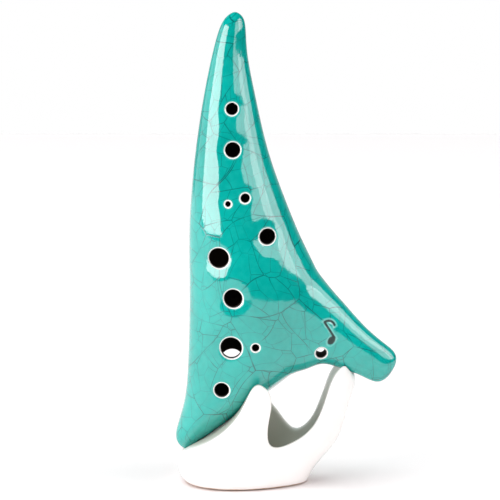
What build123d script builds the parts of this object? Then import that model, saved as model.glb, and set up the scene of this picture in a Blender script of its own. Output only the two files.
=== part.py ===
from build123d import *
import os
from math import cos, pi, radians, sin, tan

# Transverse twelve-hole ceramic ocarina standing tail-up in a porcelain cradle.
# Millimetres, +Z up, origin on the table under the middle of the pair.
# The front, with the ten front holes, faces -Y. The halves of the body meet at Y = 0.

os.makedirs("parts", exist_ok=True)

# Walls, gaps and general sizes
BODY_WALL = 4.5
STAND_WALL = 4.0
SEAT_GAP = 0.4
RING_POINTS = 12
BODY_LEAN = 0.10
STAND_LEAN = 0.22
MIDDLE_Z = 95.0
FAR = 80.0

# Body, from the tail tip down: left edge (x, z), right edge (x, z) and depth along Y.
# The rows fan out from level at the tail to the slope of the lower edge.
TAIL_TIP = (-20.7, 189.8)
BODY_ROWS = (
    ((-25.6, 185.6), (-16.9, 185.8), 8.4),
    ((-29.4, 174.0), (-15.9, 174.0), 13.4),
    ((-33.5, 154.0), (-12.2, 154.0), 20.5),
    ((-36.6, 133.0), (-7.1, 133.0), 27.5),
    ((-38.5, 113.5), (-0.1, 113.5), 33.5),
    ((-39.1, 97.0), (6.0, 99.0), 37.5),
    ((-39.0, 80.0), (11.6, 87.4), 39.5),
    ((-39.2, 64.0), (14.9, 76.5), 39.0),
    ((-39.8, 48.0), (12.6, 65.5), 36.5),
    ((-41.2, 34.0), (9.2, 56.3), 32.6),
    ((-43.7, 24.6), (7.4, 51.2), 28.4),
    ((-44.8, 18.2), (6.2, 48.6), 22.4),
    ((-41.4, 13.4), (4.0, 46.2), 9.5),
)
CHAMBER_ROWS = slice(2, 11)
CHAMBER_TOP = (-23.2, 164.0)

# Mouthpiece, from its blunt end inwards: lower edge (x, z), upper edge (x, z) and depth.
MOUTH_ROWS = (
    ((41.1, 43.3), (44.6, 49.6), 6.0),
    ((38.3, 41.0), (44.2, 52.3), 10.4),
    ((33.7, 41.4), (40.4, 56.0), 11.8),
    ((28.6, 44.0), (34.8, 60.5), 13.6),
    ((19.6, 47.3), (27.5, 67.9), 16.8),
    ((12.4, 48.2), (19.5, 76.9), 20.5),
    ((4.0, 46.8), (9.6, 82.6), 24.0),
    ((-2.0, 52.0), (3.0, 78.0), 22.0),
)

# Front holes: x, z, diameter. Two of them are the small sub-holes.
FRONT_HOLES = (
    (-21.9, 151.8, 4.5),
    (-21.6, 135.9, 5.7),
    (-23.4, 115.0, 2.2),
    (-16.7, 117.2, 3.5),
    (-8.0, 102.0, 5.9),
    (-27.0, 93.7, 7.6),
    (-21.4, 77.9, 7.0),
    (-22.2, 58.0, 8.2),
    (-12.6, 58.1, 2.9),
    (-26.0, 40.5, 5.6),
)
THUMB_HOLES = (
    (-22.2, 47.0, 9.6),
    (-21.0, 121.5, 8.0),
)
DISH_DEPTH = 0.9
DISH_WIDTH = 1.1

# Strap hole, drilled through the web below the mouthpiece
STRAP_X = 13.6
STRAP_Z = 54.2
STRAP_DIAMETER = 4.2

# Windway: it starts in the middle of the mouthpiece's end and climbs to the window at the back
MOUTH_X = 42.9
MOUTH_Z = 46.5
WINDOW_X = 10.4
WINDOW_Z = 66.9
WINDOW_LENGTH = 4.6
WINDOW_WIDTH = 11.0
WINDWAY_HEIGHT = 1.3
WINDWAY_START_WIDTH = 7.0
COVER_START_WIDTH = 8.4
COVER_END_WIDTH = 13.0
EDGE_Y = 5.6
RAMP_LENGTH = 15.0
RAMP_ANGLE = 30.0
EDGE_THICKNESS = 0.4
LIP_ANGLE = 14.0
LIP_REACH = 30.0
LIP_MARGIN = 2.5

# Stand: level, left x, right x, depth
STAND_ROWS = (
    (0.0, -39.5, 8.0, 33.0),
    (3.0, -42.6, 9.6, 38.0),
    (9.0, -44.0, 13.6, 42.0),
    (16.0, -43.5, 19.4, 43.0),
    (24.0, -41.0, 23.0, 42.5),
    (34.0, -38.0, 25.8, 41.0),
    (44.0, -36.0, 27.6, 39.0),
    (54.0, -35.0, 28.4, 38.0),
)
CUP_LEFT = -11.0
CUP_FLOOR = 6.0
# Rim seen from the front: left shoulder, slope under the ocarina, lobe, saddle and right arm
SHOULDER = ((-52.0, 2.0), (-44.5, 8.5), (-41.5, 14.0), (-36.0, 17.4))
LOBE = ((-19.2, 31.6), (-15.6, 38.6), (-11.6, 43.2), (-7.4, 40.4))
FRONT_SADDLE = ((-6.4, 34.2), (-7.8, 24.0), (-6.6, 18.8), (2.4, 19.6), (10.4, 25.4))
BACK_SADDLE = ((-8.2, 30.5), (-6.4, 28.8), (4.6, 18.6), (9.4, 22.4), (12.4, 28.0))
ARM = ((16.2, 38.6), (20.4, 47.0), (24.4, 49.4), (28.6, 46.6), (34.0, 40.0))


def at(point, y=0.0):
    """Vector for an (x, z) pair in the picture plane, at depth y."""
    return Vector(point[0], y, point[1])


def ring(start, end, depth, lean):
    """Closed egg-shaped section that runs from start to end, with its depth along Y.

    The first point stands half a step off the end, which keeps the seam out of the joint plane.
    """
    middle = (start + end) / 2
    half = (end - start) / 2
    points = []
    for step in range(RING_POINTS):
        angle = 2 * pi * (step + 0.5) / RING_POINTS
        side = depth / 2 * sin(angle) * (1 - lean * cos(angle))
        points.append(middle + half * cos(angle) + Vector(0, side, 0))
    return Wire([Edge.make_spline(points, periodic=True)])


def grown_ring(row, grow, lean):
    """Section of one table row, larger by grow all round."""
    start, end, depth = at(row[0]), at(row[1]), row[2]
    outward = (end - start).normalized() * grow
    return ring(start - outward, end + outward, depth + 2 * grow, lean)


def row_side(row):
    """Unit vector across a row, pointing down and away from the tail."""
    along = (at(row[1]) - at(row[0])).normalized()
    return Vector(along.Z, 0, -along.X)


def body_solid(grow=0.0):
    """The ocarina's body without its mouthpiece, as a full solid."""
    tip = Vertex(*(at(TAIL_TIP) + Vector(0, 0, grow)))
    rings = [grown_ring(row, grow, BODY_LEAN) for row in BODY_ROWS]
    if grow:
        rings[-1] = rings[-1].moved(Location(row_side(BODY_ROWS[-1]) * grow))
    return Solid.make_loft([tip] + rings)


def mouth_solid(grow=0.0):
    """The mouthpiece and its web, running into the body."""
    rings = [grown_ring(row, grow, 0.0) for row in MOUTH_ROWS]
    if grow:
        first = MOUTH_ROWS[0]
        rings[0] = rings[0].moved(Location(row_side(first) * -grow))
    return Solid.make_loft(rings)


def chamber_solid():
    """The air chamber: the body's rows pulled in by the wall."""
    rings = [grown_ring(row, -BODY_WALL, BODY_LEAN) for row in BODY_ROWS[CHAMBER_ROWS]]
    return Solid.make_loft([Vertex(*at(CHAMBER_TOP))] + rings)


def drill(x, z, diameter, y_from, y_to):
    """Cylinder along Y."""
    plane = Plane(origin=(x, y_from, z), z_dir=(0, 1, 0))
    return extrude(plane * Circle(diameter / 2), amount=y_to - y_from)


def surface_y(solid, x, z, side):
    """Where a line along Y through (x, z) leaves the solid on the given side."""
    line = Edge.make_line((x, 0, z), (x, side * FAR, z))
    inside = solid.intersect(line)
    return max(inside.vertices(), key=lambda vertex: abs(vertex.Y)).Y


def hole_tools(holes, outside, side):
    """Drills for a set of holes, each with a shallow dish in the outer surface."""
    tools = []
    for x, z, diameter in holes:
        face_y = surface_y(outside, x, z, side)
        dish_floor = Plane(origin=(x, face_y - side * DISH_DEPTH, z), z_dir=(0, side, 0))
        dish_top = dish_floor.offset(2 * DISH_DEPTH)
        wide = diameter / 2 + 2 * DISH_WIDTH
        tools.append(drill(x, z, diameter, 0, side * FAR))
        tools.append(loft([dish_floor * Circle(diameter / 2), dish_top * Circle(wide)]))
    return tools


def largest(shape):
    """The biggest solid of a cut, without the crumbs that the cut leaves."""
    return max(shape.solids(), key=lambda solid: solid.volume)


def half_space(side):
    """Everything on one side of the joint plane Y = 0."""
    return Pos(0, side * FAR, MIDDLE_Z) * Box(4 * FAR, 2 * FAR, 4 * FAR)


def prism(plane, points, half_width):
    """Polygon in the plane, made solid to both sides of it."""
    face = plane * make_face(Polyline(*points, close=True))
    return extrude(face, amount=half_width, both=True)


def windway_tools():
    """Slot of the windway, and the space of the cover that closes it at the back."""
    start, end = at((MOUTH_X, MOUTH_Z)), at((WINDOW_X, WINDOW_Z))
    run = (end - start).normalized()
    length = (end - start).length
    across = Vector(-run.Z, 0, run.X)
    side_view = Plane(origin=start, x_dir=run, z_dir=across)
    top_view = Plane(origin=start - Vector(0, FAR, 0), x_dir=run, z_dir=(0, 1, 0))
    begin = -2 * BODY_WALL
    slope = EDGE_Y / length
    roof_begin = WINDWAY_HEIGHT / 2 + slope * begin
    roof_end = WINDWAY_HEIGHT / 2 + slope * length
    slot_side = (
        (begin, roof_begin - WINDWAY_HEIGHT),
        (length, roof_end - WINDWAY_HEIGHT),
        (length, roof_end),
        (begin, roof_begin),
    )
    cover_side = ((begin, roof_begin), (length, roof_end), (length, FAR), (begin, FAR))

    def plan(width_begin, width_end):
        """Tapering plan of a channel, seen from the back, as a tall solid."""
        outline = (
            (begin, -width_begin / 2),
            (length, -width_end / 2),
            (length, width_end / 2),
            (begin, width_begin / 2),
        )
        return extrude(top_view * make_face(Polyline(*outline, close=True)), amount=2 * FAR)

    slot = prism(side_view, slot_side, FAR) & plan(WINDWAY_START_WIDTH, WINDOW_WIDTH)
    cover = prism(side_view, cover_side, FAR) & plan(COVER_START_WIDTH, COVER_END_WIDTH)
    return slot, cover, side_view, length


def window_tools(side_view, length):
    """Window in the back, the ramp that leaves the sounding edge, and the clay lip under it."""
    half = WINDOW_WIDTH / 2
    far_side = length + WINDOW_LENGTH
    window = prism(side_view, ((length, 0), (far_side, 0), (far_side, FAR), (length, FAR)), half)

    def wedge(foot_y, angle, reach, half_width):
        """Space behind a plane that climbs from the sounding edge."""
        corner = (far_side + reach, foot_y + reach * tan(radians(angle)))
        side = ((far_side, foot_y), corner, (far_side + reach, FAR), (far_side, FAR))
        return prism(side_view, side, half_width)

    ramp = wedge(EDGE_Y, RAMP_ANGLE, RAMP_LENGTH, half)
    lip = wedge(EDGE_Y - EDGE_THICKNESS, LIP_ANGLE, LIP_REACH, half + LIP_MARGIN)
    return window, ramp, lip


def ocarina_pieces():
    """The four clay pieces of the ocarina."""
    body = body_solid()
    mouth = mouth_solid()
    chamber = chamber_solid()
    slot, cover_space, side_view, length = windway_tools()
    window, ramp, lip = window_tools(side_view, length)
    chamber -= lip
    strap = drill(STRAP_X, STRAP_Z, STRAP_DIAMETER, -FAR, FAR)

    front = (body - chamber) & half_space(-1)
    for tool in hole_tools(FRONT_HOLES, body, -1):
        front -= tool
    back = (body - chamber) & half_space(1)
    for tool in hole_tools(THUMB_HOLES, body, 1) + [window, ramp, slot]:
        back -= tool
    block = mouth - body - window - slot - cover_space - strap
    cover = (mouth - body) & cover_space
    return {
        "front_shell": largest(front - strap),
        "back_shell": largest(back - strap),
        "mouthpiece": largest(block),
        "windway_cover": largest(cover - window),
    }


def stand_ring(row, grow):
    """Level section of the stand, smaller by the wall when grow is negative."""
    level, left, right, depth = row
    return ring(Vector(left - grow, 0, level), Vector(right + grow, 0, level), depth + 2 * grow, STAND_LEAN)


def rim_cut(saddle, side):
    """Everything above the rim, on one side of the joint plane."""
    rim = [at(point) for point in SHOULDER + LOBE + saddle + ARM]
    line = Spline(*rim)
    top = Polyline(line @ 1, Vector(FAR, 0, (line @ 1).Z), Vector(FAR, 0, FAR), Vector(-FAR, 0, FAR), line @ 0)
    face = make_face([line, top])
    return extrude(face, amount=FAR, dir=(0, side, 0))


def stand_solid():
    """Hollow porcelain cradle with a front and a back saddle."""
    outside = Solid.make_loft([stand_ring(row, 0) for row in STAND_ROWS])
    hollow = Solid.make_loft([stand_ring(row, -STAND_WALL) for row in STAND_ROWS[1:]])
    cup_space = Pos(CUP_LEFT + FAR, 0, CUP_FLOOR + FAR) * Box(2 * FAR, 2 * FAR, 2 * FAR)
    stand = outside - (hollow & cup_space)
    stand = stand - rim_cut(FRONT_SADDLE, -1) - rim_cut(BACK_SADDLE, 1)
    stand = stand - body_solid(SEAT_GAP) - mouth_solid(SEAT_GAP)
    return largest(stand)


pieces = ocarina_pieces()
pieces["stand"] = stand_solid()
for name, solid in pieces.items():
    export_step(solid, f"parts/{name}.step")
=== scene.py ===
import math

import bpy
import numpy as np
import openvdb
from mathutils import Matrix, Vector


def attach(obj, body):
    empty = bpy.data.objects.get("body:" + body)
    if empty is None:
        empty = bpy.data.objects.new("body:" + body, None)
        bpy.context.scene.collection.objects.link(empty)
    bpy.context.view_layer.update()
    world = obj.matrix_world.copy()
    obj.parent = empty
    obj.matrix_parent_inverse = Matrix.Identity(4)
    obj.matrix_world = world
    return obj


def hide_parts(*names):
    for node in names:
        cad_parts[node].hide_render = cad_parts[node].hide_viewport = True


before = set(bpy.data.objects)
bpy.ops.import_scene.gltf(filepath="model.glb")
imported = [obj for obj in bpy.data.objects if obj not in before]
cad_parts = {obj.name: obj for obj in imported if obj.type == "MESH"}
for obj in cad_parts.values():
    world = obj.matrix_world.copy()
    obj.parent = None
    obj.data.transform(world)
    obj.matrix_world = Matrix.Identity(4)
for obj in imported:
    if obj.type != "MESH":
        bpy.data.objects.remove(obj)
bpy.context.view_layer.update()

# ---------------------------------------------------------------- sizes, in millimetres
MM = 0.001
VOXEL = 0.5
# how far from a surface its distance field is filled in
BAND = 22.0
# corners of the space that holds each shape
OCARINA_SPACE = ((-48, -26, 10), (48, 26, 194))
STAND_SPACE = ((-48, -26, -4), (36, 26, 54))
HALF_SPACE = 26
WALL = 4.5

TAIL_TIP = (-20.7, 189.8)
# left edge x, z, right edge x, z and depth, from the tail tip to the lower edge
BODY_ROWS = (
    (-20.7, 189.8, -20.7, 189.8, 0.0),
    (-25.6, 185.6, -16.9, 185.8, 8.4),
    (-29.4, 174.0, -15.9, 174.0, 13.4),
    (-33.5, 154.0, -12.2, 154.0, 20.5),
    (-36.6, 133.0, -7.1, 133.0, 27.5),
    (-38.5, 113.5, -0.1, 113.5, 33.5),
    (-39.1, 97.0, 6.0, 99.0, 37.5),
    (-39.0, 80.0, 11.6, 87.4, 39.5),
    (-39.2, 64.0, 14.9, 76.5, 39.0),
    (-39.8, 48.0, 12.6, 65.5, 36.5),
    (-41.2, 34.0, 9.2, 56.3, 32.6),
    (-43.7, 24.6, 7.4, 51.2, 28.4),
    (-44.8, 18.2, 6.2, 48.6, 22.4),
    (-41.4, 13.4, 4.0, 46.2, 9.5),
    (-38.5, 14.2, 2.2, 43.8, 0.0),
)
# lower edge x, z, upper edge x, z and depth, from the blunt end into the body
MOUTH_ROWS = (
    (42.2, 44.8, 44.2, 48.2, 0.0),
    (41.1, 43.3, 44.6, 49.6, 6.0),
    (38.3, 41.0, 44.2, 52.3, 10.4),
    (33.7, 41.4, 40.4, 56.0, 11.8),
    (28.6, 44.0, 34.8, 60.5, 13.6),
    (19.6, 47.3, 27.5, 67.9, 16.8),
    (12.4, 48.2, 19.5, 76.9, 20.5),
    (4.0, 46.8, 9.6, 82.6, 24.0),
    (-2.0, 52.0, 3.0, 78.0, 22.0),
)
BODY_LEAN = 0.10
MOUTH_FULLNESS = 0.72
BLEND_WIDTH = 5.0
# softening in voxels of the body, and of the web that joins the mouthpiece to it
BODY_SOFTNESS = 1.2
WEB_SOFTNESS = 3.2
WEB_START, WEB_FADE = -6.0, 10.0

# x, z, diameter
FRONT_HOLES = (
    (-21.9, 151.8, 4.5),
    (-21.6, 135.9, 5.7),
    (-23.4, 115.0, 2.2),
    (-16.7, 117.2, 3.5),
    (-8.0, 102.0, 5.9),
    (-27.0, 93.7, 7.6),
    (-21.4, 77.9, 7.0),
    (-22.2, 58.0, 8.2),
    (-12.6, 58.1, 2.9),
    (-26.0, 40.5, 5.6),
)
THUMB_HOLES = (
    (-22.2, 47.0, 9.6),
    (-21.0, 121.5, 8.0),
)
STRAP_HOLE = (13.6, 54.2, 4.2)
# side -1 is the front, 1 the back and 0 both
DRILLED_HOLES = (
    tuple((hole, -1) for hole in FRONT_HOLES)
    + tuple((hole, 1) for hole in THUMB_HOLES)
    + ((STRAP_HOLE, 0),)
)

MOUTH_X, MOUTH_Z = 42.9, 46.5
WINDOW_X, WINDOW_Z = 10.4, 66.9
WINDOW_LENGTH = 4.6
WINDOW_WIDTH = 11.0
WINDWAY_HEIGHT = 1.3
WINDWAY_START_WIDTH = 7.0
EDGE_Y = 5.6
EDGE_THICKNESS = 0.4
RAMP_ANGLE = math.radians(30)
LIP_ANGLE = math.radians(14)
LIP_MARGIN = 2.5
SLOT_OVERRUN = 1
# corners of the space that the windway is carved in, and the overlap with the plain wall round it
WINDWAY_LOW = (-30, -14, 36)
WINDWAY_HIGH = (48, 24, 92)
WINDWAY_OVERLAP = 1
# rounding of the edges of each hollow
CHAMBER_SOFTNESS = 0.8
RAMP_SOFTNESS = 0.5
WINDOW_SOFTNESS = 0.6
SLOT_SOFTNESS = 0.5

RIM_ROUND = 1.3
DENT_DEPTH = 0.34
DENT_SPREAD = 1.9
# millimetres of hole width for each millimetre that its dent spreads further
DENT_GROWTH = 6
# how many spreads a dent reaches, and how near the middle plane it fades out
DENT_REACH = 3.2
DENT_FADE = 4
# a hole at least this wide gets the full rim and dent
FULL_HOLE = 5
DRILL_MARGIN = 3
STAND_SOFTNESS = 1.2
STAND_LEAN = 0.22
# level, left x, right x, depth
STAND_ROWS = (
    (0.0, -39.5, 8.0, 33.0),
    (3.0, -42.6, 9.6, 38.0),
    (9.0, -44.0, 13.6, 42.0),
    (16.0, -43.5, 19.4, 43.0),
    (24.0, -41.0, 23.0, 42.5),
    (34.0, -38.0, 25.8, 41.0),
    (44.0, -36.0, 27.6, 39.0),
    (54.0, -35.0, 28.4, 38.0),
)
STAND_HALF_DEPTH = 20
LEAST_FROM_MIDDLE = 0.01
SEAT_GAP = 0.4
SEAT_SOFTNESS = 0.5
FOOT_SOFTNESS = 0.8
BARE_DEPTH = 1.5

MARK_X, MARK_Z = 17.0, 63.4
MARK_TURN = 32.0
MARK_DEPTH = 0.55
MARK_SOFTNESS = 0.5
MARK_REACH = 8
MARK_FRONT, MARK_BACK = -24, -2
# the quaver about its own middle: place, tilt and half sizes of the head
HEAD_X, HEAD_Z = -1.5, -3.6
HEAD_TILT = 22
HEAD_LENGTH, HEAD_HEIGHT = 1.9, 1.35
# middle and half sizes of the stem
STEM_X, STEM_Z = 0.1, 0.4
STEM_WIDTH, STEM_HEIGHT = 0.42, 4.2
# the flag is an arc right of the stem and above a level
FLAG_X, FLAG_Z = 0.2, 1.6
FLAG_RADIUS = 2.7
FLAG_WIDTH = 0.44
FLAG_LEFT, FLAG_LOW = 0.1, 0.6

# levels that the outline is averaged over, and the steps that the distance round it is added up in
OUTLINE_WINDOW = 25
CHART_STEPS = 24
LEAST_HALF = 0.5
TINY = 1e-6
# values that stand for no hole and no mark nearby
NO_HOLE = 50.0
NO_MARK = 9.0
BARE_SLOT = 1

# ---------------------------------------------------------------- studio, in metres and degrees
FLOOR = (-1.6, 0.6, -0.44, 1.6)
LIGHT_CENTRE = (0.0, 0.0, 0.10)
LIGHT_DISTANCE = 6.0
# azimuth from the front, negative to the left, then elevation and radiance
SOFTBOXES = (
    ("softbox_left", -91.0, -34.0, -3.0, 36.0, 5.7),
    ("reflector_left", -135.0, -91.0, -4.0, 24.0, 1.0),
    ("softbox_right_inner", 32.0, 60.0, 12.0, 38.0, 2.4),
    ("softbox_right_core", 60.0, 78.0, 11.0, 42.0, 4.4),
    ("softbox_right_outer", 78.0, 100.0, 9.0, 44.0, 2.7),
)
SOFTBOX_COLOUR = (1.0, 0.88, 0.89)
PANEL_COLOUR = (0.95, 1.0, 1.0)
OVERHEAD_STRENGTH = 2.35
FILL_STRENGTH = 0.62
PANEL_ANGLE = 50.0
# the room brightens from the front to the back: start and end of the fade, then both strengths
ROOM_FADE = (0.55, 1.0, 0.012, 0.5)

# ---------------------------------------------------------------- colours, linear
GLAZE_DEEP = (0.0, 0.325, 0.280)
GLAZE_LIGHT = (0.001, 0.390, 0.338)
GLAZE_THIN = (0.010, 0.450, 0.395)
GLAZE_EDGE = (0.160, 0.560, 0.500)
GLAZE_CRACK = (0.0, 0.120, 0.115)
GLAZE_IOR = 1.82
GLAZE_POOL = (0.0, 0.035, 0.030)
RIM_WHITE = (0.86, 0.88, 0.85)
# near-black painted shade on the glazed walls inside each hole
HOLE_WALL_SHADE = (0.004, 0.018, 0.014)
# each from where a change starts to where it ends, in millimetres
RIM_RANGE = (0.52, 0.72)
HALO_RANGE = (0.5, 1.3)
MARK_RANGE = (-0.1, 0.22)
MARK_HALO_RANGE = (0.3, 0.9)
HOLE_SHADE_RANGE = (0.35, 0.85)
HOLE_ROUGH_RANGE = (0.3, 0.9)
HALO_STRENGTH = 0.45
MARK_HALO_STRENGTH = 0.75
MOTTLE_STRENGTH = 0.30
GLAZE_ROUGHNESS = (0.03, 0.075)
CRACK_ROUGHNESS = 0.12
MARK_ROUGHNESS = 0.5
HOLE_ROUGHNESS = 0.6

CLAY_DARK = (0.020, 0.012, 0.008)
CLAY_LIGHT = (0.045, 0.028, 0.018)
CLAY_GRAIN = (0.09, 0.06, 0.04)
CLAY_ROUGHNESS = (0.75, 0.92)

PORCELAIN_WARM = (0.88, 0.87, 0.84)
PORCELAIN_WHITE = (0.93, 0.925, 0.91)
PORCELAIN_SPECK = (0.55, 0.50, 0.44)
# grey painted shade for the faces inside the cradle's hollow
PORCELAIN_INSIDE_SHADE = (0.66, 0.65, 0.58)
PORCELAIN_FOOT = (0.52, 0.36, 0.25)
PORCELAIN_ROUGHNESS = (0.12, 0.20)
# wall depth in millimetres over which the painted shade inside the hollow fades in
INSIDE_SHADE_RANGE = (1.6, 3.4)
# height in metres where the brown band along the foot ends
FOOT_RANGE = (0.0010, 0.0014)

PAPER_COLOUR = (0.86, 0.86, 0.86, 1)
PAPER_ROUGHNESS = 0.7
# sockets of a colour mix node: factor, both colours and the result
MIX_FACTOR, MIX_FIRST, MIX_SECOND, MIX_RESULT = 0, 6, 7, 2

# cells per metre, half width of a line in metres and darkness
CRACK_LEVELS = ((40.0, 0.00024, 1.0), (74.0, 0.00022, 0.90), (125.0, 0.00017, 0.62))
CRACK_WANDER = 0.016
CRACK_WANDER_SCALE = 28.0
CRACK_CORE = 0.3
CRACK_FADE_SCALE = 110.0

FIELD_WIDTH = 0.2
CAMERA_DISTANCE = 0.90
CAMERA_AIM = (-0.0148, 0.0, 0.0946)
CAMERA_AZIMUTH = 0.0
CAMERA_ELEVATION = math.radians(8)


# ---------------------------------------------------------------- small tools
def natural_spline(knots, values, at):
    """Natural cubic spline through the rows of values, read at new parameters."""
    count = len(knots)
    gap = np.diff(knots)
    system = np.eye(count)
    right = np.zeros_like(values)
    for i in range(1, count - 1):
        system[i, i - 1: i + 2] = gap[i - 1], 2 * (gap[i - 1] + gap[i]), gap[i]
        right[i] = 6 * ((values[i + 1] - values[i]) / gap[i] - (values[i] - values[i - 1]) / gap[i - 1])
    bend = np.linalg.solve(system, right)
    place = np.clip(np.searchsorted(knots, at, side="right") - 1, 0, count - 2)
    width = gap[place][:, None]
    after = (at - knots[place])[:, None]
    before = width - after
    return (
        bend[place] * before**3 / (6 * width)
        + bend[place + 1] * after**3 / (6 * width)
        + (values[place] / width - bend[place] * width / 6) * before
        + (values[place + 1] / width - bend[place + 1] * width / 6) * after
    )


def lofted(rows, lean, round_end, fullness=1.0, steps=260, around=120):
    """Closed mesh through egg-shaped rows, rounded where it starts, and at its end if asked.

    A fullness under one fills the section's corners out.
    """
    rows = np.array(rows)
    middles = (rows[:, 0:2] + rows[:, 2:4]) / 2
    run = np.concatenate([[0], np.cumsum(np.linalg.norm(np.diff(middles, axis=0), axis=1))])
    run = run / run[-1]
    knots = np.arccos(1 - 2 * run) if round_end else np.sqrt(run)
    dense = natural_spline(knots, rows, np.linspace(0, knots[-1], steps))
    angle = np.linspace(0, 2 * np.pi, around, endpoint=False)
    reach = np.cos(angle)[None, :]
    bulge = np.sign(np.sin(angle)) * np.abs(np.sin(angle)) ** fullness
    side = (bulge * (1 - lean * np.cos(angle)))[None, :]
    x = (dense[:, 0:1] + dense[:, 2:3]) / 2 + (dense[:, 2:3] - dense[:, 0:1]) / 2 * reach
    z = (dense[:, 1:2] + dense[:, 3:4]) / 2 + (dense[:, 3:4] - dense[:, 1:2]) / 2 * reach
    y = np.maximum(dense[:, 4:5], 0) / 2 * side
    points = np.stack([x, y, z], axis=-1).reshape(-1, 3)
    ends = np.array([points[:around].mean(axis=0), points[-around:].mean(axis=0)])
    points = np.concatenate([points, ends])
    ring = np.arange(around)
    after = (ring + 1) % around
    first = np.arange(steps - 1)[:, None] * around
    quads = np.stack([first + ring, first + after, first + after + around, first + ring + around], axis=-1)
    last = (steps - 1) * around
    total = steps * around
    caps = np.concatenate([
        np.stack([after, ring, np.full(around, total)], axis=-1),
        np.stack([last + ring, last + after, np.full(around, total + 1)], axis=-1),
    ])
    return points.astype(np.float32), quads.reshape(-1, 4).astype(np.uint32), caps.astype(np.uint32)


class Grid:
    """A box of voxels, with a distance field for each shape that is read into it."""

    def __init__(self, low, high, voxel):
        self.voxel = voxel
        self.start = np.floor(np.array(low) / voxel).astype(int)
        self.shape = tuple(np.ceil(np.array(high) / voxel).astype(int) - self.start + 1)
        self.transform = openvdb.createLinearTransform(voxelSize=voxel)
        axes = [(self.start[i] + np.arange(self.shape[i])) * voxel for i in range(3)]
        self.x = axes[0][:, None, None].astype(np.float32)
        self.y = axes[1][None, :, None].astype(np.float32)
        self.z = axes[2][None, None, :].astype(np.float32)

    def distance(self, points, quads, triangles):
        """Signed distance to a closed mesh, negative inside."""
        reach = BAND / self.voxel
        level = openvdb.FloatGrid.createLevelSetFromPolygons(
            points, triangles=triangles, quads=quads, transform=self.transform, halfWidth=reach
        )
        field = np.empty(self.shape, dtype=np.float32)
        level.copyToArray(field, ijk=tuple(int(v) for v in self.start))
        return field

    def mesh(self, field):
        """Points, triangles and quads of the field's zero surface."""
        level = openvdb.FloatGrid()
        level.background = float(field.max())
        level.transform = self.transform
        level.copyFromArray(field, ijk=tuple(int(v) for v in self.start))
        points, triangles, quads = level.convertToPolygons(isovalue=0.0, adaptivity=0.0)
        return points, triangles, quads

    def part(self, low, high):
        """Slices of the voxels between two corners, with their coordinates."""
        first = [max(int(low[i] / self.voxel) - self.start[i], 0) for i in range(3)]
        last = [min(int(high[i] / self.voxel) - self.start[i] + 2, self.shape[i]) for i in range(3)]
        cut = tuple(slice(first[i], last[i]) for i in range(3))
        return cut, self.x[cut[0]], self.y[:, cut[1]], self.z[:, :, cut[2]]

    def sample(self, field, points):
        """Field values at points, by trilinear interpolation."""
        place = points / self.voxel - self.start
        low = np.clip(np.floor(place).astype(int), 0, np.array(self.shape) - 2)
        part = np.clip(place - low, 0, 1)
        total = np.zeros(len(points))
        for dx in (0, 1):
            for dy in (0, 1):
                for dz in (0, 1):
                    corner = np.abs(1 - np.array([dx, dy, dz]) - part)
                    weight = corner[:, 0] * corner[:, 1] * corner[:, 2]
                    total += weight * field[low[:, 0] + dx, low[:, 1] + dy, low[:, 2] + dz]
        return total


def join_soft(first, second, width):
    """Union of two fields, with a fillet of about the given width."""
    near = np.maximum(width - np.abs(first - second), 0) / width
    return np.minimum(first, second) - near * near * width / 4


def meet_soft(first, second, width):
    """Intersection of two fields, with a rounded edge."""
    return -join_soft(-first, -second, width)


def blurred(field, sigma):
    """Gaussian blur along all three axes, sigma in voxels."""
    reach = int(math.ceil(3 * sigma))
    offsets = np.arange(-reach, reach + 1)
    weights = np.exp(-offsets**2 / (2 * sigma * sigma))
    weights = (weights / weights.sum()).astype(np.float32)
    for axis in range(3):
        padded = np.pad(field, [(reach, reach) if i == axis else (0, 0) for i in range(3)], mode="edge")
        length = field.shape[axis]
        total = np.zeros_like(field)
        for k, weight in enumerate(weights):
            window = [slice(None)] * 3
            window[axis] = slice(k, k + length)
            total += weight * padded[tuple(window)]
        field = total
    return field


# ---------------------------------------------------------------- ocarina
def hole_wall(x, z, hole):
    """Distance outside a drilled hole's wall, negative inside the hole."""
    return np.sqrt((x - hole[0]) ** 2 + (z - hole[1]) ** 2) - hole[2] / 2


def around_hole(grid, hole, side, reach):
    """Voxels round a hole, on one side of the middle plane or on both."""
    low = (hole[0] - reach, -HALF_SPACE if side < 1 else 0, hole[1] - reach)
    high = (hole[0] + reach, HALF_SPACE if side > -1 else 0, hole[1] + reach)
    return grid.part(low, high)


def dent(grid, outside, hole, side, depth, spread):
    """Press a smooth shallow hollow into the outer surface round a hole, on one side or on both."""
    cut, x, y, z = around_hole(grid, hole, side, hole[2] / 2 + DENT_REACH * spread)
    away = np.maximum(hole_wall(x, z, hole), 0) + 0 * y
    fall = np.exp(-(away / spread) ** 2)
    outside[cut] += depth * fall * np.clip(np.abs(y) / DENT_FADE, 0, 1)


def drill(grid, clay, hole, side, rim):
    """Cut one hole from the middle outwards, with a rounded glazed rim."""
    cut, x, y, z = around_hole(grid, hole, side, hole[2] / 2 + DRILL_MARGIN)
    clay[cut] = meet_soft(clay[cut], -hole_wall(x, z, hole) + 0 * y, rim)


def run_frame(x, z):
    """Coordinates along the windway from the mouthpiece's end, and across it."""
    length = math.hypot(WINDOW_X - MOUTH_X, WINDOW_Z - MOUTH_Z)
    ux, uz = (WINDOW_X - MOUTH_X) / length, (WINDOW_Z - MOUTH_Z) / length
    along = (x - MOUTH_X) * ux + (z - MOUTH_Z) * uz
    across = (x - MOUTH_X) * uz - (z - MOUTH_Z) * ux
    return along, across, length


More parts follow.
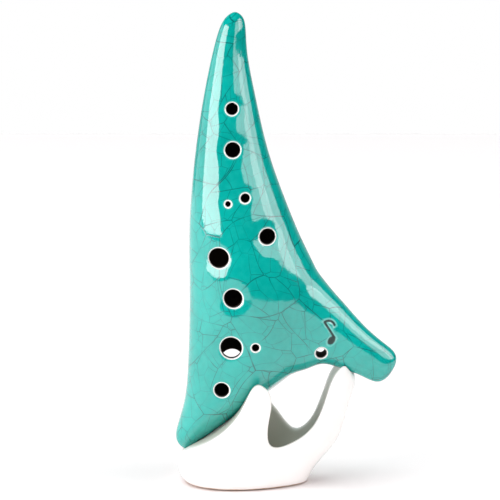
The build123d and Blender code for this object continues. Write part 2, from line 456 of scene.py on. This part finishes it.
def carve_windway(grid, clay, chamber):
    """Windway slot, window, ramp and the lip under the ramp."""
    cut, x, y, z = grid.part(WINDWAY_LOW, WINDWAY_HIGH)
    along, across, length = run_frame(x, z)
    far = length + WINDOW_LENGTH
    half = WINDOW_WIDTH / 2
    sides = np.abs(across) - half
    lip_plane = (EDGE_Y - EDGE_THICKNESS + (along - far) * math.tan(LIP_ANGLE) - y) * math.cos(LIP_ANGLE)
    lip = np.maximum(np.maximum(lip_plane, far - along), np.abs(across) - half - LIP_MARGIN)
    inner = np.maximum(chamber[cut], -lip)
    piece = meet_soft(clay[cut], -inner, CHAMBER_SOFTNESS)
    ramp_plane = (EDGE_Y + (along - far) * math.tan(RAMP_ANGLE) - y) * math.cos(RAMP_ANGLE)
    ramp = np.maximum(np.maximum(ramp_plane, far - along), sides)
    window = np.maximum(np.maximum(np.maximum(length - along, along - far), sides), -y)
    taper = WINDWAY_START_WIDTH / 2 + (half - WINDWAY_START_WIDTH / 2) * np.clip(along / length, 0, 1)
    level = EDGE_Y * along / length
    slot = np.maximum(np.abs(y - level) - WINDWAY_HEIGHT / 2, np.abs(across) - taper)
    slot = np.maximum(slot, along - length - SLOT_OVERRUN)
    for hollow, softness in ((ramp, RAMP_SOFTNESS), (window, WINDOW_SOFTNESS), (slot, SLOT_SOFTNESS)):
        piece = meet_soft(piece, -hollow, softness)
    clay[cut] = piece


def ocarina_fields():
    """Distance fields of the ocarina: its outside, and the finished clay with every hole."""
    grid = Grid(*OCARINA_SPACE, VOXEL)
    body = grid.distance(*lofted(BODY_ROWS, BODY_LEAN, True))
    mouth = grid.distance(*lofted(MOUTH_ROWS, 0.0, False, MOUTH_FULLNESS))
    joined = join_soft(body, mouth, BLEND_WIDTH)
    near_web = np.clip((grid.x - WEB_START) / WEB_FADE, 0, 1) + 0 * joined
    outside = blurred(joined, BODY_SOFTNESS) * (1 - near_web) + blurred(joined, WEB_SOFTNESS) * near_web
    for hole, side in DRILLED_HOLES:
        depth = DENT_DEPTH * min(hole[2] / FULL_HOLE, 1)
        dent(grid, outside, hole, side, depth, DENT_SPREAD + hole[2] / DENT_GROWTH)
    chamber = body + WALL
    clay = outside.copy()
    carve_windway(grid, clay, chamber)
    beyond_left = grid.x < WINDWAY_LOW[0] + WINDWAY_OVERLAP
    below = grid.z < WINDWAY_LOW[2] + WINDWAY_OVERLAP
    above = grid.z > WINDWAY_HIGH[2] - WINDWAY_OVERLAP
    plain_wall = meet_soft(outside, -chamber, CHAMBER_SOFTNESS)
    clay = np.where(beyond_left | below | above, plain_wall, clay)
    for hole, side in DRILLED_HOLES:
        drill(grid, clay, hole, side, RIM_ROUND * min(hole[2] / FULL_HOLE, 1))
    engrave(grid, clay, outside)
    return grid, outside, clay


def quaver_distance(x, z):
    """Distance outside a small engraved quaver, in the picture plane."""
    turn = math.radians(MARK_TURN)
    right = (x - MARK_X) * math.cos(turn) + (z - MARK_Z) * math.sin(turn)
    up = -(x - MARK_X) * math.sin(turn) + (z - MARK_Z) * math.cos(turn)
    tilt = math.radians(HEAD_TILT)
    head_x = (right - HEAD_X) * math.cos(tilt) + (up - HEAD_Z) * math.sin(tilt)
    head_z = -(right - HEAD_X) * math.sin(tilt) + (up - HEAD_Z) * math.cos(tilt)
    head = (np.sqrt((head_x / HEAD_LENGTH) ** 2 + (head_z / HEAD_HEIGHT) ** 2) - 1) * HEAD_HEIGHT
    stem = np.maximum(np.abs(right - STEM_X) - STEM_WIDTH, np.abs(up - STEM_Z) - STEM_HEIGHT)
    bow = np.sqrt((right - FLAG_X) ** 2 + (up - FLAG_Z) ** 2) - FLAG_RADIUS
    flag = np.maximum(np.maximum(np.abs(bow) - FLAG_WIDTH, FLAG_LEFT - right), FLAG_LOW - up)
    return np.minimum(np.minimum(head, stem), flag)


def engrave(grid, clay, outside):
    """Press the quaver into the front of the mouthpiece's root."""
    low = (MARK_X - MARK_REACH, MARK_FRONT, MARK_Z - MARK_REACH)
    high = (MARK_X + MARK_REACH, MARK_BACK, MARK_Z + MARK_REACH)
    cut, x, y, z = grid.part(low, high)
    mark = np.maximum(quaver_distance(x, z) + 0 * y, -(outside[cut] + MARK_DEPTH))
    clay[cut] = meet_soft(clay[cut], -mark, MARK_SOFTNESS)


def outline_tables(grid, outside):
    """Left edge, right edge and half depth of the outside at each level, smoothed."""
    level = grid.z[0, 0, :]
    middle = int(round(-grid.start[1]))
    flat = outside[:, middle, :] < 0
    x = grid.x[:, 0, 0]
    left = np.where(flat.any(axis=0), x[np.argmax(flat, axis=0)], TAIL_TIP[0])
    right = np.where(flat.any(axis=0), x[len(x) - 1 - np.argmax(flat[::-1], axis=0)], TAIL_TIP[0])
    deep = (outside < 0).any(axis=0)
    depth = np.where(deep.any(axis=0), -grid.y[0, np.argmax(deep, axis=0), 0], LEAST_HALF)
    right = np.maximum.accumulate(right[::-1])[::-1]
    depth = np.maximum.accumulate(depth[::-1])[::-1]
    kernel = np.hanning(OUTLINE_WINDOW)
    kernel /= kernel.sum()
    margin = OUTLINE_WINDOW // 2
    rows = (left, right, depth)
    smooth = [np.convolve(np.pad(row, margin, mode="edge"), kernel, mode="valid") for row in rows]
    return level, smooth


def surface_chart(grid, outside, points):
    """Flat coordinates on the skin: distance round from the left edge, and height.

    The front and the back are two mirrored charts that meet at the left edge.
    """
    level, (left, right, depth) = outline_tables(grid, outside)
    x_left = np.interp(points[:, 2], level, left)
    x_right = np.interp(points[:, 2], level, right)
    half_depth = np.interp(points[:, 2], level, depth)
    half = np.maximum((x_right - x_left) / 2, LEAST_HALF)
    turn = np.arccos(np.clip(1 - (points[:, 0] - x_left) / half, -1, 1))
    run = np.zeros(len(points))
    for step in range(CHART_STEPS):
        part = turn * (step + 0.5) / CHART_STEPS
        run += np.sqrt((half * np.sin(part)) ** 2 + (half_depth * np.cos(part)) ** 2) * turn / CHART_STEPS
    return np.stack([run * np.sign(points[:, 1] + TINY), points[:, 2], np.zeros(len(points))], axis=-1)


def nearest_hole(points):
    """Distance outside the nearest drilled hole's wall, for the side of the skin that the point is on."""
    best = np.full(len(points), NO_HOLE)
    for hole, side in DRILLED_HOLES:
        away = hole_wall(points[:, 0], points[:, 2], hole)
        wrong_side = side * points[:, 1] < 0
        best = np.minimum(best, np.where(wrong_side, NO_HOLE, away))
    return best


def new_object(name, points, triangles, quads):
    """Mesh object from points in millimetres."""
    mesh = bpy.data.meshes.new(name)
    faces = [tuple(int(v) for v in face) for face in triangles] + quads.tolist()
    mesh.from_pydata((points * MM).tolist(), [], faces)
    mesh.validate()
    mesh.polygons.foreach_set("use_smooth", [True] * len(mesh.polygons))
    piece = bpy.data.objects.new(name, mesh)
    bpy.context.scene.collection.objects.link(piece)
    return piece


def add_attribute(piece, name, values):
    """Store one number or one vector for each vertex."""
    kind = "FLOAT" if values.ndim == 1 else "FLOAT_VECTOR"
    layer = piece.data.attributes.new(name, kind, "POINT")
    layer.data.foreach_set("value" if values.ndim == 1 else "vector", values.astype(np.float32).ravel())


def mark_faces(piece, chosen, slot_index):
    """Give a material slot to the faces whose corners are mostly chosen."""
    mesh = piece.data
    corners = np.empty(len(mesh.loops), dtype=np.int32)
    mesh.loops.foreach_get("vertex_index", corners)
    starts = np.empty(len(mesh.polygons), dtype=np.int32)
    mesh.polygons.foreach_get("loop_start", starts)
    share = np.add.reduceat(chosen[corners].astype(float), starts)
    totals = np.empty(len(mesh.polygons), dtype=np.int32)
    mesh.polygons.foreach_get("loop_total", totals)
    index = np.where(share / totals > 0.5, slot_index, 0).astype(np.int32)
    mesh.polygons.foreach_set("material_index", index)


def make_ocarina():
    """The ocarina's fired clay under one glaze, as one closed skin."""
    grid, outside, clay = ocarina_fields()
    points, triangles, quads = grid.mesh(clay)
    piece = new_object("ocarina_glazed_body", points, triangles, quads)
    depth = -grid.sample(outside, points)
    hole = nearest_hole(points)
    add_attribute(piece, "chart", surface_chart(grid, outside, points) * MM)
    add_attribute(piece, "hole_distance", hole)
    add_attribute(piece, "depth", depth)
    mark = quaver_distance(points[:, 0], points[:, 2])
    add_attribute(piece, "mark", np.where(points[:, 1] < 0, mark, NO_MARK))
    mark_faces(piece, depth > BARE_DEPTH, BARE_SLOT)
    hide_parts("front_shell", "back_shell", "mouthpiece", "windway_cover")
    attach(piece, "ocarina")
    return piece, grid, outside


# ---------------------------------------------------------------- stand
def wall_depth(points):
    """Roughly how far inside the stand's outer wall each point is."""
    level, left, right, depth = np.array(STAND_ROWS).T
    x_left = np.interp(points[:, 2], level, left)
    x_right = np.interp(points[:, 2], level, right)
    half = (x_right - x_left) / 2
    across = (points[:, 0] - (x_left + x_right) / 2) / half
    from_middle = np.hypot(across, points[:, 1] / STAND_HALF_DEPTH)
    tilt = across / np.maximum(from_middle, LEAST_FROM_MIDDLE)
    reach = np.interp(points[:, 2], level, depth) / 2 * (1 - STAND_LEAN * tilt)
    return (1 - np.hypot(across, points[:, 1] / reach)) * reach


def make_stand(ocarina_grid, ocarina_outside):
    """The porcelain cradle, with the soft edges of a slip-cast and glazed piece."""
    source = bpy.data.objects["stand"].data
    points = np.empty(len(source.vertices) * 3, dtype=np.float32)
    source.vertices.foreach_get("co", points)
    points = points.reshape(-1, 3) / MM
    source.calc_loop_triangles()
    triangles = np.empty(len(source.loop_triangles) * 3, dtype=np.int32)
    source.loop_triangles.foreach_get("vertices", triangles)
    grid = Grid(*STAND_SPACE, VOXEL)
    field = grid.distance(points, None, triangles.reshape(-1, 3).astype(np.uint32))
    field = blurred(field, STAND_SOFTNESS)
    field = meet_soft(field, -grid.z + 0 * field, FOOT_SOFTNESS)
    first = np.maximum(grid.start, ocarina_grid.start)
    last = np.minimum(grid.start + grid.shape, ocarina_grid.start + ocarina_grid.shape)
    here, there = (
        tuple(slice(low, high) for low, high in zip(first - box.start, last - box.start))
        for box in (grid, ocarina_grid)
    )
    field[here] = meet_soft(field[here], SEAT_GAP - ocarina_outside[there], SEAT_SOFTNESS)
    points, triangles, quads = grid.mesh(field)
    piece = new_object("porcelain_cradle", points, triangles, quads)
    add_attribute(piece, "wall_depth", wall_depth(points))
    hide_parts("stand")
    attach(piece, "stand")
    return piece


# ---------------------------------------------------------------- materials
class Painter:
    """Short ways to add nodes to a material."""

    def __init__(self, name):
        self.material = bpy.data.materials.new(name)
        self.material.use_nodes = True
        self.tree = self.material.node_tree
        self.shader = self.tree.nodes["Principled BSDF"]

    def node(self, kind, **settings):
        made = self.tree.nodes.new(kind)
        for name, value in settings.items():
            setattr(made, name, value)
        return made

    def put(self, socket, value):
        """Link a socket's source, or set its value."""
        if isinstance(value, bpy.types.NodeSocket):
            self.tree.links.new(value, socket)
        else:
            socket.default_value = value

    def math(self, operation, first, second, clamp=False):
        """Sum, product or other result of two numbers."""
        made = self.node("ShaderNodeMath", operation=operation, use_clamp=clamp)
        self.put(made.inputs[0], first)
        self.put(made.inputs[1], second)
        return made.outputs[0]

    def vector_math(self, operation, first, second):
        """Sum or difference of two vectors."""
        made = self.node("ShaderNodeVectorMath", operation=operation)
        self.put(made.inputs[0], first)
        self.put(made.inputs[1], second)
        return made.outputs["Vector"]

    def scaled(self, vector, factor):
        made = self.node("ShaderNodeVectorMath", operation="SCALE")
        self.put(made.inputs[0], vector)
        made.inputs["Scale"].default_value = factor
        return made.outputs["Vector"]

    def ramp(self, value, low, high, start=0.0, end=1.0):
        """Smooth step of a value from low to high."""
        made = self.node("ShaderNodeMapRange", interpolation_type="SMOOTHSTEP")
        self.put(made.inputs["Value"], value)
        for name, number in (("From Min", low), ("From Max", high), ("To Min", start), ("To Max", end)):
            self.put(made.inputs[name], number)
        return made.outputs["Result"]

    def mix(self, factor, first, second):
        """First colour where the factor is zero, second colour where it is one."""
        made = self.node("ShaderNodeMix", data_type="RGBA", blend_type="MIX")
        self.put(made.inputs[MIX_FACTOR], factor)
        for index, colour in ((MIX_FIRST, first), (MIX_SECOND, second)):
            self.put(made.inputs[index], colour if isinstance(colour, bpy.types.NodeSocket) else (*colour, 1))
        return made.outputs[MIX_RESULT]

    def attribute(self, name, output="Fac"):
        return self.node("ShaderNodeAttribute", attribute_name=name).outputs[output]

    def place(self):
        return self.node("ShaderNodeTexCoord").outputs["Object"]

    def noise(self, vector, scale, detail=2.0, output="Fac", dimensions="3D"):
        made = self.node("ShaderNodeTexNoise", noise_dimensions=dimensions)
        self.put(made.inputs["Vector"], vector)
        made.inputs["Scale"].default_value = scale
        made.inputs["Detail"].default_value = detail
        return made.outputs[output]

    def cells(self, vector, scale, feature, output):
        """Flat pattern of irregular cells."""
        made = self.node("ShaderNodeTexVoronoi", voronoi_dimensions="2D", feature=feature)
        self.put(made.inputs["Vector"], vector)
        made.inputs["Scale"].default_value = scale
        return made.outputs[output]

    def bump(self, height, strength, distance, normal=None):
        made = self.node("ShaderNodeBump")
        self.put(made.inputs["Height"], height)
        made.inputs["Strength"].default_value = strength
        made.inputs["Distance"].default_value = distance
        if normal is not None:
            self.put(made.inputs["Normal"], normal)
        return made.outputs["Normal"]


def crackle(paint):
    """Crackle lines of the glaze: each finer net of cracks stays inside the cells of the one before."""
    chart = paint.attribute("chart", "Vector")
    wander = paint.noise(chart, CRACK_WANDER_SCALE, 1.0, "Color", "2D")
    drift = paint.scaled(paint.vector_math("SUBTRACT", wander, (0.5, 0.5, 0.5)), CRACK_WANDER)
    bent = paint.vector_math("ADD", chart, drift)
    lines = None
    for scale, width, strength in CRACK_LEVELS:
        edge = paint.cells(bent, scale, "DISTANCE_TO_EDGE", "Distance")
        line = paint.ramp(edge, width * scale * CRACK_CORE, width * scale, strength, 0.0)
        lines = line if lines is None else paint.math("MAXIMUM", lines, line)
        bent = paint.vector_math("ADD", bent, paint.cells(bent, scale, "F1", "Color"))
    fade = paint.ramp(paint.noise(chart, CRACK_FADE_SCALE, 2.0, "Fac", "2D"), 0.32, 0.56, 0.40, 1.0)
    return paint.math("MULTIPLY", lines, fade)


def turquoise_glaze():
    """Glossy crackled celadon-like glaze that thins to white on every hole's rim, with painted shade
    darkening the hole walls below it.
    """
    paint = Painter("turquoise_crackle_glaze")
    place = paint.place()
    lines = crackle(paint)
    depth = paint.attribute("depth")
    hole = paint.attribute("hole_distance")
    cloud = paint.ramp(paint.noise(place, 38.0, 3.0), 0.35, 0.68)
    mottle = paint.ramp(paint.noise(place, 420.0, 3.0), 0.35, 0.70)
    colour = paint.mix(cloud, GLAZE_DEEP, GLAZE_LIGHT)
    colour = paint.mix(paint.math("MULTIPLY", mottle, MOTTLE_STRENGTH), colour, GLAZE_THIN)
    colour = paint.mix(lines, colour, GLAZE_CRACK)
    mark = paint.ramp(paint.attribute("mark"), *MARK_RANGE, 1.0, 0.0)
    colour = paint.mix(mark, colour, GLAZE_POOL)
    mark_halo = paint.ramp(paint.attribute("mark"), *MARK_HALO_RANGE, MARK_HALO_STRENGTH, 0.0)
    outside_mark = paint.math("MULTIPLY", mark_halo, paint.math("SUBTRACT", 1.0, mark))
    colour = paint.mix(outside_mark, colour, GLAZE_EDGE)
    halo = paint.ramp(hole, *HALO_RANGE, HALO_STRENGTH, 0.0)
    colour = paint.mix(halo, colour, GLAZE_EDGE)
    rim = paint.ramp(hole, *RIM_RANGE, 1.0, 0.0)
    colour = paint.mix(rim, colour, RIM_WHITE)
    # painted shade: the glaze darkens to near black down the walls inside each hole
    colour = paint.mix(paint.ramp(depth, *HOLE_SHADE_RANGE), colour, HOLE_WALL_SHADE)
    paint.put(paint.shader.inputs["Base Color"], colour)
    rough = paint.ramp(paint.noise(place, 160.0, 3.0), 0.3, 0.7, *GLAZE_ROUGHNESS)
    rough = paint.math("ADD", rough, paint.math("MULTIPLY", lines, CRACK_ROUGHNESS))
    rough = paint.math("ADD", rough, paint.math("MULTIPLY", mark, MARK_ROUGHNESS))
    rough = paint.math("ADD", rough, paint.ramp(depth, *HOLE_ROUGH_RANGE, 0.0, HOLE_ROUGHNESS), True)
    paint.put(paint.shader.inputs["Roughness"], rough)
    swell = paint.bump(paint.noise(place, 70.0, 2.0), 0.10, 0.002)
    skin = paint.bump(paint.noise(place, 900.0, 2.0), 0.04, 0.0003, swell)
    cracked = paint.bump(paint.math("SUBTRACT", 1.0, lines), 0.03, 0.0003, skin)
    paint.put(paint.shader.inputs["Normal"], cracked)
    paint.shader.inputs["IOR"].default_value = GLAZE_IOR
    return paint.material


def bare_clay():
    """Unglazed dark clay of the chamber, the hole walls and the windway."""
    paint = Painter("bare_dark_clay")
    place = paint.place()
    grain = paint.noise(place, 1400.0, 4.0)
    patch = paint.noise(place, 90.0, 3.0)
    colour = paint.mix(paint.ramp(patch, 0.3, 0.7), CLAY_DARK, CLAY_LIGHT)
    colour = paint.mix(paint.math("MULTIPLY", paint.ramp(grain, 0.5, 0.75), 0.4), colour, CLAY_GRAIN)
    paint.put(paint.shader.inputs["Base Color"], colour)
    paint.put(paint.shader.inputs["Roughness"], paint.ramp(grain, 0.3, 0.7, *CLAY_ROUGHNESS))
    paint.put(paint.shader.inputs["Normal"], paint.bump(grain, 0.4, 0.0003))
    return paint.material


def white_porcelain():
    """Bright white glaze over cast porcelain, with painted shade greying the faces deep inside its hollow,
    and a warmer brown band round the foot.
    """
    paint = Painter("white_porcelain_glaze")
    place = paint.place()
    cloud = paint.ramp(paint.noise(place, 30.0, 3.0), 0.35, 0.70)
    colour = paint.mix(cloud, PORCELAIN_WARM, PORCELAIN_WHITE)
    speck = paint.ramp(paint.noise(place, 1800.0, 1.0), 0.76, 0.80)
    colour = paint.mix(paint.math("MULTIPLY", speck, 0.35), colour, PORCELAIN_SPECK)
    height = paint.node("ShaderNodeSeparateXYZ")
    paint.put(height.inputs[0], place)
    wobble = paint.math("MULTIPLY", paint.noise(place, 160.0, 2.0), 0.0008)
    # painted shade: faces deep inside the cradle's wall are greyed, standing in for the shade in its hollow
    inside = paint.ramp(paint.attribute("wall_depth"), *INSIDE_SHADE_RANGE)
    colour = paint.mix(inside, colour, PORCELAIN_INSIDE_SHADE)
    # a warm brown band along the bottom millimetre of the stand, rougher there
    foot = paint.ramp(paint.math("ADD", height.outputs["Z"], wobble), *FOOT_RANGE, 1.0, 0.0)
    colour = paint.mix(foot, colour, PORCELAIN_FOOT)
    paint.put(paint.shader.inputs["Base Color"], colour)
    gloss = paint.ramp(paint.noise(place, 120.0, 2.0), 0.3, 0.7, *PORCELAIN_ROUGHNESS)
    paint.put(paint.shader.inputs["Roughness"], paint.math("ADD", gloss, paint.math("MULTIPLY", foot, 0.6)))
    swell = paint.bump(paint.noise(place, 60.0, 2.0), 0.12, 0.002)
    skin = paint.bump(paint.noise(place, 1100.0, 2.0), 0.05, 0.0003, swell)
    paint.put(paint.shader.inputs["Normal"], skin)
    return paint.material


def floor_paper():
    """Plain matt white paper."""
    paint = Painter("studio_paper")
    paint.shader.inputs["Base Color"].default_value = PAPER_COLOUR
    paint.shader.inputs["Roughness"].default_value = PAPER_ROUGHNESS
    return paint.material


# ---------------------------------------------------------------- studio
def make_floor():
    """White table top that ends a little way in front of the object."""
    mesh = bpy.data.meshes.new("studio_floor")
    left, right, near, far = FLOOR
    corners = [(left, near, 0), (right, near, 0), (right, far, 0), (left, far, 0)]
    mesh.from_pydata(corners, [], [(0, 1, 2, 3)])
    floor = bpy.data.objects.new("studio_floor", mesh)
    bpy.context.scene.collection.objects.link(floor)
    mesh.materials.append(floor_paper())


def add_lamp(name, kind, place, aim):
    """Lamp at a place, turned to its aim and out of the camera's sight."""
    lamp = bpy.data.lights.new(name, kind)
    light = bpy.data.objects.new(name, lamp)
    light.location = place
    light.rotation_euler = (Vector(aim) - Vector(place)).to_track_quat("-Z", "Y").to_euler()
    light.visible_camera = False
    bpy.context.scene.collection.objects.link(light)
    return light


def direction(azimuth, elevation):
    """Unit vector from the object, with azimuth zero at the front and both angles in radians."""
    return Vector((
        math.sin(azimuth) * math.cos(elevation),
        -math.cos(azimuth) * math.cos(elevation),
        math.sin(elevation),
    ))


def softbox(name, left, right, low, high, radiance):
    """Rectangular softbox that fills a range of azimuth and elevation, in degrees, seen from the object."""
    way = direction(math.radians((left + right) / 2), math.radians((low + high) / 2))
    middle = Vector(LIGHT_CENTRE)
    light = add_lamp(name, "AREA", middle + way * LIGHT_DISTANCE, middle)
    light.data.shape = "RECTANGLE"
    light.data.size = 2 * LIGHT_DISTANCE * math.tan(math.radians(right - left) / 2)
    light.data.size_y = 2 * LIGHT_DISTANCE * math.tan(math.radians(high - low) / 2)
    light.data.energy = radiance * math.pi * light.data.size * light.data.size_y
    light.data.color = SOFTBOX_COLOUR


def make_world():
    """White backdrop behind the object and a dark room in front of it."""
    world = bpy.data.worlds.new("studio_air")
    bpy.context.scene.world = world
    world.use_nodes = True
    tree = world.node_tree
    room = tree.nodes["Background"]
    way = tree.nodes.new("ShaderNodeSeparateXYZ")
    tree.links.new(tree.nodes.new("ShaderNodeTexCoord").outputs["Generated"], way.inputs[0])
    fade = tree.nodes.new("ShaderNodeMapRange")
    fade.interpolation_type = "SMOOTHSTEP"
    for name, value in zip(("From Min", "From Max", "To Min", "To Max"), ROOM_FADE):
        fade.inputs[name].default_value = value
    tree.links.new(way.outputs["Y"], fade.inputs["Value"])
    tree.links.new(fade.outputs["Result"], room.inputs["Strength"])
    room.inputs["Color"].default_value = (1, 1, 1, 1)
    backdrop = tree.nodes.new("ShaderNodeBackground")
    backdrop.inputs["Color"].default_value = (1, 1, 1, 1)
    seen = tree.nodes.new("ShaderNodeLightPath")
    chosen = tree.nodes.new("ShaderNodeMixShader")
    tree.links.new(seen.outputs["Is Camera Ray"], chosen.inputs["Fac"])
    tree.links.new(room.outputs[0], chosen.inputs[1])
    tree.links.new(backdrop.outputs[0], chosen.inputs[2])
    tree.links.new(chosen.outputs[0], tree.nodes["World Output"].inputs["Surface"])


def make_studio():
    """Floor, backdrop, softboxes and two wide lamps that don't show in reflections."""
    make_floor()
    make_world()
    for name, *shape in SOFTBOXES:
        softbox(name, *shape)
    for name, place, strength in (
        ("overhead_panel", (0, 0, 1), OVERHEAD_STRENGTH),
        ("front_fill", (0, -1, 0.1), FILL_STRENGTH),
    ):
        panel = add_lamp(name, "SUN", place, (0, 0, 0))
        panel.data.energy = strength
        panel.data.angle = math.radians(PANEL_ANGLE)
        panel.data.color = PANEL_COLOUR
        panel.visible_glossy = False
    bpy.context.scene.view_settings.view_transform = "Standard"


def make_camera():
    """Camera at the photograph's angle: straight on and a little above."""
    camera_data = bpy.data.cameras.new("camera")
    camera_data.lens = camera_data.sensor_width * CAMERA_DISTANCE / FIELD_WIDTH
    camera = bpy.data.objects.new("camera", camera_data)
    way = direction(CAMERA_AZIMUTH, CAMERA_ELEVATION)
    camera.location = Vector(CAMERA_AIM) + way * CAMERA_DISTANCE
    camera.rotation_euler = (-way).to_track_quat("-Z", "Y").to_euler()
    bpy.context.scene.collection.objects.link(camera)
    bpy.context.scene.camera = camera


ocarina, ocarina_grid, ocarina_outside = make_ocarina()
stand = make_stand(ocarina_grid, ocarina_outside)
ocarina.data.materials.append(turquoise_glaze())
ocarina.data.materials.append(bare_clay())
stand.data.materials.append(white_porcelain())
make_studio()
make_camera()
